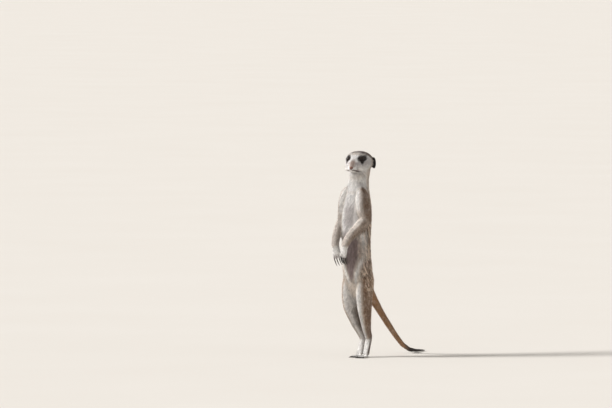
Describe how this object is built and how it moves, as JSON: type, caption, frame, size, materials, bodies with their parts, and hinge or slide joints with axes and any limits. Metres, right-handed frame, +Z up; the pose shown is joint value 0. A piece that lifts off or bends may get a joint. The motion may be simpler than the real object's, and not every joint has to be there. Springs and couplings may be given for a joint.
{
  "type": "meerkat, standing on the lookout",
  "caption": "Life-size still model of a meerkat standing upright on its hind toes, forepaws hanging before the belly, tail propped on the floor behind.",
  "frame": {"origin": "on the floor, in the middle of the room that the animal takes seen from above", "axes": "+Z up along the body to the crown, -Y the way the body faces, +X the animal's left"},
  "size_m": [0.0596, 0.2132, 0.3113],
  "materials": {
    "pale_coat": "short soft fur, cream to grey, pale bases and darker tips",
    "grizzled_coat": "coarse grizzled fur, grey-brown with darker bars and pale tips",
    "tail_coat": "short close fur, ochre-brown darkening to a black tip",
    "ear_coat": "very short black fur",
    "nose_skin": "moist pebbled skin",
    "eye": "wet, near-black brown iris",
    "claw_horn": "dark horn, slightly polished"
  },
  "bodies": {
    "root": {"head": "pale_coat", "lower_jaw": "pale_coat", "neck": "pale_coat", "trunk": "pale_coat", "nose": "nose_skin", "tail_root": "tail_coat", "tail_middle": "tail_coat", "tail_tip": "tail_coat", "left_eye": "eye", "left_ear": "ear_coat", "left_upper_arm": "pale_coat", "left_forearm": "pale_coat", "left_forepaw": "pale_coat", "left_thigh": "grizzled_coat", "left_shank": "grizzled_coat", "left_hind_foot": "pale_coat", "left_fore_claw_1": "claw_horn", "left_hind_claw_1": "claw_horn", "left_fore_claw_2": "claw_horn", "left_hind_claw_2": "claw_horn", "left_fore_claw_3": "claw_horn", "left_hind_claw_3": "claw_horn", "left_fore_claw_4": "claw_horn", "left_hind_claw_4": "claw_horn", "right_eye": "eye", "right_ear": "ear_coat", "right_upper_arm": "pale_coat", "right_forearm": "pale_coat", "right_forepaw": "pale_coat", "right_thigh": "grizzled_coat", "right_shank": "grizzled_coat", "right_hind_foot": "pale_coat", "right_fore_claw_1": "claw_horn", "right_hind_claw_1": "claw_horn", "right_fore_claw_2": "claw_horn", "right_hind_claw_2": "claw_horn", "right_fore_claw_3": "claw_horn", "right_hind_claw_3": "claw_horn", "right_fore_claw_4": "claw_horn", "right_hind_claw_4": "claw_horn"}
  },
  "joints": []
}
